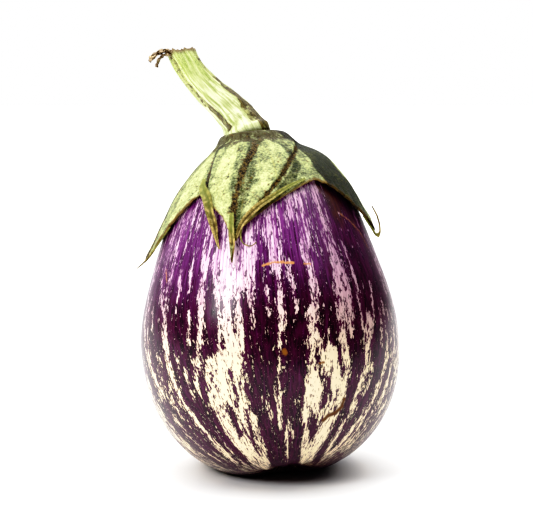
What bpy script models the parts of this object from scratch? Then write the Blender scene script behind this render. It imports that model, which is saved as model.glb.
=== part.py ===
"""A striped, egg-shaped eggplant standing on its blossom end: fruit, calyx and stem.

Metres, +Z up. The origin is the middle of the small flat spot that the fruit rests on.
Places on the fruit are given by two angles: a bearing around the fruit's own axis, 0 at its
front (-Y) and positive towards +X, and a polar angle, 0 at the stem end and 180 at the
blossom end.
"""
import math

import bmesh
import bpy
from mathutils import Vector

MM = 0.001

# Driving dimensions of the fruit
RADIUS = 39.0 * MM            # at the widest ring
STEM_END = 60.6 * MM          # from the widest ring to the stem end, along the axis
BLOSSOM_END = 41.2 * MM       # from the widest ring to the blossom end
CENTRE_HEIGHT = 38.8 * MM     # of the widest ring's middle, above the resting spot
BELLY_POWER = 2.25            # fullness of the lower half; 2 would be an ellipsoid
NECK_TAPER = 0.06             # how much the flanks below the calyx are drawn in
SHOULDER_SHIFT = 4.6 * MM     # how far the right shoulder stands out more than the left
LEAN_LEFT = math.radians(6.5)
LEAN_BACK = math.radians(10.5)
BLOSSOM_SIDE = math.radians(7.0)      # the blossom scar lies to the right of and in front of
BLOSSOM_FORWARD = math.radians(25.0)  # the resting spot, seen from the fruit's centre
DIMPLE_DEPTH = 4.2 * MM       # of the hollow around the blossom scar
DIMPLE_SPREAD = math.radians(6.6)
SPOT_SOFTNESS = 0.45 * MM     # rounding between the flat spot and the belly
SPOT_SNAP = 0.04 * MM         # anything this close to the ground lies on it
FRUIT_COLUMNS = 60
FRUIT_RINGS = 36

# The calyx. Each outline point is a bearing and a polar angle in degrees, and how far the
# margin stands off the skin there, in millimetres. The sinuses lie between the five sepals.
CALYX_OUTLINE = (
    (-180, 33, 0.2), (-166, 35, 0.3), (-154, 40, 0.8), (-147, 47, 2.0),
    (-142, 55, 4.5),                                     # tip, back left
    (-138, 47, 2.0), (-130, 40, 0.8), (-119, 35, 0.3), (-112, 33, 0.2),
    (-104, 36, 0.3), (-97, 39, 0.5), (-91, 43, 0.7), (-86, 47, 1.0),
    (-82, 53, 2.4),                                      # tip, left
    (-78, 48.5, 0.9), (-73, 46, 0.6), (-66, 43, 0.6), (-58, 38.5, 0.4), (-50, 34.5, 0.3),
    (-42, 31, 0.2), (-36, 33.5, 0.3), (-31, 37, 0.4), (-26, 42, 0.6),
    (-21, 51, 1.2),                                      # tip of the narrow folded strip
    (-19.5, 43.5, 0.4), (-17, 46, 0.5),
    (-13.5, 57, 1.0),                                    # tip, front
    (-11, 46.5, 0.5), (-2, 41.5, 0.3), (8, 37.5, 0.3), (19, 34.2, 0.2), (29, 31.8, 0.2),
    (38, 30.2, 0.2), (45, 31.7, 0.3), (51, 33.8, 0.4), (59, 37.2, 0.5), (67, 41.3, 0.7),
    (74, 45, 1.0),
    (79, 50, 1.8),                                       # tip, right
    (84, 46, 1.3), (92, 41, 0.8), (102, 37, 0.4), (112, 34, 0.2), (121, 36, 0.3),
    (132, 40, 0.8), (140, 47, 2.0),
    (145, 54, 4.5),                                      # tip, back right
    (149, 47, 2.0), (156, 40, 0.8), (167, 35, 0.3), (180, 33, 0.2),
)
CALYX_GAP = 0.35 * MM          # clearance over the skin
CROWN_THICKNESS = 2.3 * MM
MARGIN_THICKNESS = 0.8 * MM
THINNING_POWER = 0.4           # how soon the calyx thins below the crown
CROWN_RADIUS = 7.6 * MM        # of the flat seat under the stem
CALYX_ROWS = 9
CALYX_STEP = 6.0               # largest step between columns, degrees

# The stem: its middle line from the seat to the cut end, beyond the seat's own middle
STEM_ROUTE = (
    (0.0, 0.0, 0.0),
    (-1.7, 1.3, 3.4),
    (-5.1, 2.9, 7.2),
    (-10.3, 5.2, 11.8),
    (-15.5, 7.0, 17.2),
    (-20.4, 9.0, 25.0),
)
STEM_GAP = 0.3 * MM
STEM_BASE_RADIUS = 7.0 * MM
STEM_END_RADIUS = 4.05 * MM
STEM_TAPER = 1.6               # above 1, most of the narrowing is near the foot
STEM_FLARE = 0.8 * MM          # extra radius where the stem meets the seat
STEM_FLARE_LENGTH = 0.16       # of the flare, as a share of the stem
STEM_RIBS = 5
STEM_RIB_HEIGHT = 0.3 * MM
STEM_SIDES = 20
STEM_RINGS = 18
CUT_NORMAL = Vector((-0.10, 0.12, 1.0)).normalized()
CUT_BLEND = 0.72               # share of the stem after which its rings turn to the cut

# The frayed flap of dry bark at the low side of the cut
FLAP_STEPS = (
    (Vector((-2.0, -0.3, 0.2)), 0.70),
    (Vector((-1.6, -0.3, -1.0)), 0.75),
    (Vector((-0.6, -0.3, -1.9)), 0.70),
)


def clear_scene():
    for old in list(bpy.data.objects):
        bpy.data.objects.remove(old, do_unlink=True)


def plain_material(name, colour, roughness):
    material = bpy.data.materials.new(name)
    material.use_nodes = True
    shader = material.node_tree.nodes["Principled BSDF"]
    shader.inputs["Base Color"].default_value = (*colour, 1.0)
    shader.inputs["Roughness"].default_value = roughness
    shader.inputs["Metallic"].default_value = 0.0
    return material


def fruit_axes():
    """The fruit's own front, side and stem-end directions."""
    axis = Vector((-math.tan(LEAN_LEFT), math.tan(LEAN_BACK), 1.0)).normalized()
    front = Vector((0.0, -1.0, 0.0))
    front = (front - axis * front.dot(axis)).normalized()
    return front, axis.cross(front), axis


FRONT, SIDE, AXIS = fruit_axes()
BLOSSOM = Vector((math.tan(BLOSSOM_SIDE), -math.tan(BLOSSOM_FORWARD), -1.0)).normalized()


def profile(polar):
    """Distance from the fruit's centre to its skin at a polar angle, before the dimple."""
    across = math.sin(polar) / RADIUS
    along = math.cos(polar)
    if along < 0.0:
        power = BELLY_POWER
        return (across ** power + (-along / BLOSSOM_END) ** power) ** (-1.0 / power)
    return (across ** 2 + (along / STEM_END) ** 2) ** -0.5


def skin_point(bearing, polar):
    """A point of the skin, before the fruit is flattened where it rests."""
    around = FRONT * math.cos(bearing) + SIDE * math.sin(bearing)
    from_scar = (around * math.sin(polar) + AXIS * math.cos(polar)).angle(BLOSSOM)
    distance = profile(polar) - DIMPLE_DEPTH * math.exp(-0.5 * (from_scar / DIMPLE_SPREAD) ** 2)
    across = distance * math.sin(polar)
    along = distance * math.cos(polar)
    share = min(max(along / STEM_END, 0.0), 1.0)
    across *= 1.0 - NECK_TAPER * math.sin(math.pi * share) ** 2
    middle = SIDE * (SHOULDER_SHIFT * share ** 2 * (1.0 - share ** 12)) + Vector((0.0, 0.0, CENTRE_HEIGHT))
    return middle + around * across + AXIS * along


def skin_normal(bearing, polar):
    step = 0.01
    along = skin_point(bearing, polar + step) - skin_point(bearing, max(polar - step, 0.001))
    around = Vector(FRONT * -math.sin(bearing) + SIDE * math.cos(bearing))
    return along.cross(around).normalized()


def rest_on_ground(point):
    """Flatten what would lie below the ground, with a soft edge."""
    ratio = point.z / SPOT_SOFTNESS
    height = SPOT_SOFTNESS * (math.log1p(math.exp(-abs(ratio))) + max(ratio, 0.0))
    if height < SPOT_SNAP:
        height = 0.0
    return Vector((point.x, point.y, height))


def add_rings(mesh, rings):
    """Vertices for closed rings of points, with a band of quads between neighbours."""
    loops = [[mesh.verts.new(point) for point in ring] for ring in rings]
    for upper, lower in zip(loops, loops[1:]):
        count = len(upper)
        for i in range(count):
            j = (i + 1) % count
            mesh.faces.new((upper[i], lower[i], lower[j], upper[j]))
    return loops


def close_ring(mesh, loop, tip):
    """A fan from a ring to one point."""
    point = mesh.verts.new(tip)
    count = len(loop)
    for i in range(count):
        mesh.faces.new((point, loop[i], loop[(i + 1) % count]))


def finish_object(name, mesh, material):
    bmesh.ops.recalc_face_normals(mesh, faces=mesh.faces)
    data = bpy.data.meshes.new(name)
    mesh.to_mesh(data)
    mesh.free()
    data.shade_smooth()
    data.materials.append(material)
    piece = bpy.data.objects.new(name, data)
    bpy.context.scene.collection.objects.link(piece)
    return piece


def make_fruit():
    mesh = bmesh.new()
    bearings = [math.tau * i / FRUIT_COLUMNS for i in range(FRUIT_COLUMNS)]
    polars = [math.pi * (i + 1) / (FRUIT_RINGS + 1) for i in range(FRUIT_RINGS)]
    rings = [[rest_on_ground(skin_point(b, p)) for b in bearings] for p in polars]
    loops = add_rings(mesh, rings)
    close_ring(mesh, loops[0], skin_point(0.0, 0.0))
    close_ring(mesh, loops[-1], rest_on_ground(skin_point(0.0, math.pi)))
    material = plain_material("eggplant_skin", (0.16, 0.03, 0.12), 0.3)
    return finish_object("fruit", mesh, material)


def calyx_columns():
    """Outline points around the calyx, with steps of at most CALYX_STEP between them."""
    columns = []
    for start, end in zip(CALYX_OUTLINE, CALYX_OUTLINE[1:]):
        parts = math.ceil((end[0] - start[0]) / CALYX_STEP)
        for i in range(parts):
            share = i / parts
            columns.append(tuple(a + (b - a) * share for a, b in zip(start, end)))
    return columns


def calyx_side(outer):
    """Rings of one side of the calyx, from the crown to the margin."""
    crown_polar = math.atan2(CROWN_RADIUS, STEM_END)
    rings = []
    for row in range(CALYX_ROWS + 1):
        share = row / CALYX_ROWS
        thickness = CROWN_THICKNESS + (MARGIN_THICKNESS - CROWN_THICKNESS) * share ** THINNING_POWER
        ring = []
        for bearing_deg, polar_deg, stand_off in calyx_columns():
            bearing = math.radians(bearing_deg)
            polar = crown_polar + (math.radians(polar_deg) - crown_polar) * share
            lift = CALYX_GAP + stand_off * MM * share ** 4
            if outer:
                lift += thickness
            point = skin_point(bearing, polar) + skin_normal(bearing, polar) * lift
            ring.append(point)
        rings.append(ring)
    return rings


def seat_middle():
    """The middle of the flat seat that the stem stands on."""
    return skin_point(0.0, 0.0) + AXIS * (CALYX_GAP + CROWN_THICKNESS)


def make_calyx():
    mesh = bmesh.new()
    outer = calyx_side(True)
    inner = calyx_side(False)
    middle = seat_middle()
    outer[0] = [point - AXIS * (point - middle).dot(AXIS) for point in outer[0]]
    loops = add_rings(mesh, outer + inner[::-1])
    close_ring(mesh, loops[0], middle)
    close_ring(mesh, loops[-1], skin_point(0.0, 0.0) + AXIS * CALYX_GAP)
    material = plain_material("calyx_green", (0.30, 0.38, 0.12), 0.6)
    return finish_object("calyx", mesh, material)


def smooth_route(points, share):
    """A point on a smooth curve through the route's points."""
    place = share * (len(points) - 1)
    i = min(int(place), len(points) - 2)
    t = place - i
    before = points[i - 1] if i > 0 else points[i] * 2 - points[i + 1]
    after = points[i + 2] if i + 2 < len(points) else points[i + 1] * 2 - points[i]
    start, end = points[i], points[i + 1]
    return 0.5 * (2 * start + (end - before) * t
                  + (2 * before - 5 * start + 4 * end - after) * t ** 2
                  + (3 * start - 3 * end + after - before) * t ** 3)


def stem_ring(route, share):
    """One ring of the stem, square to its line, or in the plane of the cut near the end."""
    step = 0.02
    here = smooth_route(route, share)
    tangent = smooth_route(route, min(share + step, 1.0)) - smooth_route(route, max(share - step, 0.0))
    tangent.normalize()
    if share == 0.0:
        tangent = AXIS
    across = tangent.cross(Vector((0.0, 1.0, 0.0))).normalized()
    deep = tangent.cross(across)
    radius = STEM_END_RADIUS + (STEM_BASE_RADIUS - STEM_END_RADIUS) * (1.0 - share) ** STEM_TAPER
    radius += STEM_FLARE * max(0.0, 1.0 - share / STEM_FLARE_LENGTH) ** 2
    turn = min(max((share - CUT_BLEND) / (1.0 - CUT_BLEND), 0.0), 1.0) ** 2
    ring = []
    for i in range(STEM_SIDES):
        angle = math.tau * i / STEM_SIDES
        rib = STEM_RIB_HEIGHT * math.cos(STEM_RIBS * angle)
        offset = (across * math.cos(angle) + deep * math.sin(angle)) * (radius + rib)
        slide = -offset.dot(CUT_NORMAL) / tangent.dot(CUT_NORMAL)
        ring.append(here + offset + tangent * slide * turn)
    return ring


def add_flap(mesh, upper, lower):
    """The flap of dry bark: the face at the low side of the cut, drawn out and down."""
    side = min(range(STEM_SIDES), key=lambda i: upper[i].co.x)
    corners = {upper[side], upper[(side + 1) % STEM_SIDES], lower[side], lower[(side + 1) % STEM_SIDES]}
    face = next(f for f in lower[side].link_faces if set(f.verts) == corners)
    for move, scale in FLAP_STEPS:
        face = bmesh.ops.extrude_discrete_faces(mesh, faces=[face])["faces"][0]
        middle = face.calc_center_median()
        for corner in face.verts:
            corner.co = middle + (corner.co - middle) * scale + move * MM


def make_stem():
    mesh = bmesh.new()
    foot = seat_middle() + AXIS * STEM_GAP
    route = [foot + Vector(point) * MM for point in STEM_ROUTE]
    rings = [stem_ring(route, i / STEM_RINGS) for i in range(STEM_RINGS + 1)]
    loops = add_rings(mesh, rings)
    close_ring(mesh, loops[0], foot)
    close_ring(mesh, loops[-1], route[-1])
    bmesh.ops.recalc_face_normals(mesh, faces=mesh.faces)
    add_flap(mesh, loops[-1], loops[-2])
    material = plain_material("stem_green", (0.42, 0.50, 0.22), 0.6)
    return finish_object("stem", mesh, material)


clear_scene()
make_fruit()
make_calyx()
make_stem()
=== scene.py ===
"""Looks of a striped, egg-shaped eggplant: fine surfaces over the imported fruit, calyx and stem.

Places on the fruit are two angles in degrees: a bearing around its own axis, 0 at the front
and positive to the right, and a polar angle, 0 at the stem end and 180 at the blossom end.
"""
import math

import bpy
import numpy as np
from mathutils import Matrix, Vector


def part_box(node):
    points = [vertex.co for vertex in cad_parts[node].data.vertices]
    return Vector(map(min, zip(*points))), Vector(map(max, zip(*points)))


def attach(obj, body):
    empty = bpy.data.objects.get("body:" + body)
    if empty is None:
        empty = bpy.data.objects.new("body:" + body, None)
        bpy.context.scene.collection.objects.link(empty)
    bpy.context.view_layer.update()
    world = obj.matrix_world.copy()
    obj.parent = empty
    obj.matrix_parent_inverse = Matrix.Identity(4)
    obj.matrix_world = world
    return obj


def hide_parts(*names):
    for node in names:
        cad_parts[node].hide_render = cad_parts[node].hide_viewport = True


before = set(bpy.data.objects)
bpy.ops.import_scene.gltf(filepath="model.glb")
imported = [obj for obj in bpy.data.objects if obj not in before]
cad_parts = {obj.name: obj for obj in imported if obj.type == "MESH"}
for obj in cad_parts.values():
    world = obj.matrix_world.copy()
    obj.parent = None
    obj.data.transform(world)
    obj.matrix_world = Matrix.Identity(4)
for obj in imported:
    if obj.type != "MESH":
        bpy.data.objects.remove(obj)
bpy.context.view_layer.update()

# One millimetre of the model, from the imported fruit's width
FRUIT_WIDTH = 78.2
fruit_low, fruit_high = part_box("fruit")
MM = (fruit_high.x - fruit_low.x) / FRUIT_WIDTH

# The fruit's form, as in the CAD
RADIUS = 39.0 * MM
STEM_END = 60.6 * MM
BLOSSOM_END = 41.2 * MM
CENTRE_HEIGHT = 38.8 * MM
BELLY_POWER = 2.25
NECK_TAPER = 0.06
SHOULDER_SHIFT = 4.6 * MM
LEAN_LEFT = math.radians(6.5)
LEAN_BACK = math.radians(10.5)
BLOSSOM_SIDE = math.radians(7.0)
BLOSSOM_FORWARD = math.radians(25.0)
DIMPLE_DEPTH = 4.2 * MM
DIMPLE_SPREAD = math.radians(6.6)
PUCKERS = 11                   # small folds that run into the blossom scar
PUCKER_DEPTH = 0.35 * MM
SPOT_SOFTNESS = 0.45 * MM
FRUIT_COLUMNS = 320
FRUIT_RINGS = 200
GRAIN_STRETCH = 1.35           # length of the fruit against its girth, for the pattern


# ---------------------------------------------------------------- geometry of the fruit

def unit(vector):
    return np.asarray(vector, float) / np.linalg.norm(vector)


def fruit_axes():
    """The fruit's own front, side and stem-end directions, as in the CAD."""
    axis = unit((-math.tan(LEAN_LEFT), math.tan(LEAN_BACK), 1.0))
    front = np.array((0.0, -1.0, 0.0))
    front = unit(front - axis * front.dot(axis))
    return front, np.cross(axis, front), axis


FRONT, SIDE, AXIS = fruit_axes()
BLOSSOM = unit((math.tan(BLOSSOM_SIDE), -math.tan(BLOSSOM_FORWARD), -1.0))
UP = np.array((0.0, 0.0, 1.0))


def around(bearing):
    """Unit directions square to the fruit's axis."""
    return FRONT * np.cos(bearing)[..., None] + SIDE * np.sin(bearing)[..., None]


def directions(bearing, polar):
    """Unit directions from the fruit's centre."""
    return around(bearing) * np.sin(polar)[..., None] + AXIS * np.cos(polar)[..., None]


def skin_points(bearing, polar):
    """Points of the skin, before the fruit is flattened where it rests."""
    direction = directions(bearing, polar)
    from_scar = np.arccos(np.clip(direction @ BLOSSOM, -1.0, 1.0))
    across = np.sin(polar) / RADIUS
    along = np.cos(polar)
    belly = (across ** BELLY_POWER + (np.maximum(-along, 0.0) / BLOSSOM_END) ** BELLY_POWER)
    belly = np.maximum(belly, 1e-12) ** (-1.0 / BELLY_POWER)
    neck = (across ** 2 + (along / STEM_END) ** 2) ** -0.5
    distance = np.where(along < 0.0, belly, neck)
    distance = distance - DIMPLE_DEPTH * np.exp(-0.5 * (from_scar / DIMPLE_SPREAD) ** 2)
    across = distance * np.sin(polar)
    along = distance * np.cos(polar)
    share = np.clip(along / STEM_END, 0.0, 1.0)
    across = across * (1.0 - NECK_TAPER * np.sin(math.pi * share) ** 2)
    shift = SHOULDER_SHIFT * share ** 2 * (1.0 - share ** 12)
    middle = SIDE * shift[..., None] + UP * CENTRE_HEIGHT
    return middle + around(bearing) * across[..., None] + AXIS * along[..., None]


def stem_end():
    """The skin's point on the fruit's axis, under the stem."""
    return skin_points(np.zeros(1), np.zeros(1))[0]


def skin_normals(bearing, polar):
    step = 0.01
    along = skin_points(bearing, polar + step) - skin_points(bearing, np.maximum(polar - step, 0.001))
    beside = SIDE * np.cos(bearing)[..., None] - FRONT * np.sin(bearing)[..., None]
    normal = np.cross(along, beside)
    return normal / np.linalg.norm(normal, axis=-1, keepdims=True)


def rest_on_ground(points):
    """Flatten what would lie below the ground, with a soft edge."""
    ratio = points[..., 2] / SPOT_SOFTNESS
    points[..., 2] = SPOT_SOFTNESS * (np.log1p(np.exp(-np.abs(ratio))) + np.maximum(ratio, 0.0))
    return points


def smooth(low, high, value):
    """0 below low, 1 above high, with an eased rise between them."""
    share = np.clip((value - low) / (high - low), 0.0, 1.0)
    return share * share * (3.0 - 2.0 * share)


def ripples(bearing, polar, seed, waves, size):
    """Smooth unevenness: a sum of a few seeded waves around and along the fruit."""
    dice = np.random.default_rng(seed)
    total = np.zeros(np.shape(bearing))
    for _ in range(waves):
        turns = dice.integers(1, 7)
        rate = dice.uniform(1.0, 6.0)
        total += np.cos(turns * bearing + dice.uniform(0, math.tau)) * np.cos(
            rate * polar + dice.uniform(0, math.tau))
    return total * size / waves


# ---------------------------------------------------------------- mesh helpers

def closed_rings_object(name, rings, first_tip, last_tip, attributes, uv=None):
    """A piece from closed rings of points, with a fan to a tip at either end."""
    count_rings, columns = rings.shape[:2]
    points = np.concatenate((rings.reshape(-1, 3), [first_tip, last_tip]))
    index = np.arange(count_rings * columns).reshape(count_rings, columns)
    following = np.roll(index, -1, axis=1)
    quads = np.stack((index[:-1], index[1:], following[1:], following[:-1]), axis=-1).reshape(-1, 4)
    tip, end = len(points) - 2, len(points) - 1
    faces = quads.tolist()
    faces += [(tip, index[0, i], following[0, i]) for i in range(columns)]
    faces += [(end, following[-1, i], index[-1, i]) for i in range(columns)]
    mesh = bpy.data.meshes.new(name)
    mesh.from_pydata(points.tolist(), [], faces)
    for key, values in attributes.items():
        store(mesh, key, values, columns)
    if uv is not None:
        unroll(mesh, quads, index, count_rings, columns, uv)
    mesh.shade_smooth()
    mesh.update()
    piece = bpy.data.objects.new(name, mesh)
    bpy.context.scene.collection.objects.link(piece)
    return piece


def store(mesh, key, values, columns):
    """A point attribute from one value, or one vector, for each ring point."""
    flat = np.asarray(values, float)
    if flat.ndim == 3:
        flat = flat.reshape(-1, 3)
        tips = np.stack((flat[:columns].mean(0), flat[-columns:].mean(0)))
        layer = mesh.attributes.new(key, "FLOAT_VECTOR", "POINT")
        layer.data.foreach_set("vector", np.concatenate((flat, tips)).astype(np.float32).ravel())
        return
    flat = flat.reshape(-1)
    tips = np.array((flat[:columns].mean(), flat[-columns:].mean()))
    layer = mesh.attributes.new(key, "FLOAT", "POINT")
    layer.data.foreach_set("value", np.concatenate((flat, tips)).astype(np.float32))


def unroll(mesh, quads, index, count_rings, columns, uv):
    """A map of the rings, one column after another, with its seam behind column 0."""
    layer = mesh.uv_layers.new(name="OFBake")
    row_of = quads // columns
    column_of = quads % columns
    column_of[:, 2:] = np.where(column_of[:, 2:] < column_of[:, :2], columns, column_of[:, 2:])
    across = column_of / columns
    down = uv[row_of]
    places = np.stack((across, 1.0 - down), axis=-1).reshape(-1, 2)
    turn = (np.arange(columns) + 0.5) / columns
    step = 1.0 / columns
    half = 0.5 * step
    top = [((t, 1.0), (t - half, 1.0 - uv[0]), (t + half, 1.0 - uv[0])) for t in turn]
    bottom = [((t, 0.0), (t + half, 1.0 - uv[-1]), (t - half, 1.0 - uv[-1])) for t in turn]
    places = np.concatenate((places, np.array(top).reshape(-1, 2), np.array(bottom).reshape(-1, 2)))
    layer.data.foreach_set("uv", places.astype(np.float32).ravel())


# ---------------------------------------------------------------- node helpers

def new_material(name):
    material = bpy.data.materials.new(name)
    material.use_nodes = True
    tree = material.node_tree
    return material, tree, tree.nodes["Principled BSDF"]


def feed(tree, socket, value):
    if isinstance(value, bpy.types.NodeSocket):
        tree.links.new(value, socket)
    else:
        socket.default_value = value


def calculate(tree, operation, first, second=0.0, third=0.0, clamp=False):
    node = tree.nodes.new("ShaderNodeMath")
    node.operation = operation
    node.use_clamp = clamp
    for socket, value in zip(node.inputs, (first, second, third)):
        feed(tree, socket, value)
    return node.outputs[0]


def multiply(tree, first, second):
    return calculate(tree, "MULTIPLY", first, second)


def multiply_add(tree, first, second, third, clamp=False):
    return calculate(tree, "MULTIPLY_ADD", first, second, third, clamp)


def add_scaled(tree, base, value, gain, offset, clamp=False):
    """base + gain * value - offset."""
    shifted = calculate(tree, "SUBTRACT", base, offset)
    return multiply_add(tree, value, gain, shifted, clamp=clamp)


def ease(tree, value, low, high, bottom=0.0, top=1.0):
    """A smooth rise from bottom to top as value goes from low to high."""
    node = tree.nodes.new("ShaderNodeMapRange")
    node.interpolation_type = "SMOOTHSTEP"
    for socket, number in zip(node.inputs, (value, low, high, bottom, top)):
        feed(tree, socket, number)
    return node.outputs[0]


def blend_colours(tree, share, first, second, mode="MIX"):
    node = tree.nodes.new("ShaderNodeMix")
    node.data_type = "RGBA"
    node.blend_type = mode
    feed(tree, node.inputs[0], share)
    feed(tree, node.inputs[6], first if isinstance(first, bpy.types.NodeSocket) else (*first, 1.0))
    feed(tree, node.inputs[7], second if isinstance(second, bpy.types.NodeSocket) else (*second, 1.0))
    return node.outputs[2]


def attribute(tree, key, output="Fac"):
    node = tree.nodes.new("ShaderNodeAttribute")
    node.attribute_name = key
    return node.outputs[output]


def object_place(tree):
    return tree.nodes.new("ShaderNodeTexCoord").outputs["Object"]


def stretch(tree, vector, factors):
    node = tree.nodes.new("ShaderNodeVectorMath")
    node.operation = "MULTIPLY"
    feed(tree, node.inputs[0], vector)
    node.inputs[1].default_value = factors
    return node.outputs[0]


def cloud(tree, vector, scale, detail=3.0, roughness=0.55, distortion=0.0):
    """Soft noise from 0 to 1."""
    node = tree.nodes.new("ShaderNodeTexNoise")
    feed(tree, node.inputs["Vector"], vector)
    node.inputs["Scale"].default_value = scale
    node.inputs["Detail"].default_value = detail
    node.inputs["Roughness"].default_value = roughness
    node.inputs["Distortion"].default_value = distortion
    return node.outputs["Fac"]


def cells(tree, vector, scale):
    """Distance to the nearest of many scattered points."""
    node = tree.nodes.new("ShaderNodeTexVoronoi")
    feed(tree, node.inputs["Vector"], vector)
    node.inputs["Scale"].default_value = scale
    return node.outputs["Distance"]


def raise_surface(tree, shader, height, distance, strength=1.0):
    node = tree.nodes.new("ShaderNodeBump")
    node.inputs["Strength"].default_value = strength
    node.inputs["Distance"].default_value = distance
    feed(tree, node.inputs["Height"], height)
    tree.links.new(node.outputs["Normal"], shader.inputs["Normal"])


def srgb(red, green, blue):
    """A colour given in the usual 0 to 255 screen values, as linear light."""
    def linear(value):
        value /= 255.0
        return value / 12.92 if value <= 0.04045 else ((value + 0.055) / 1.055) ** 2.4
    return tuple(linear(v) for v in (red, green, blue))


# ---------------------------------------------------------------- the skin's pattern

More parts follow.
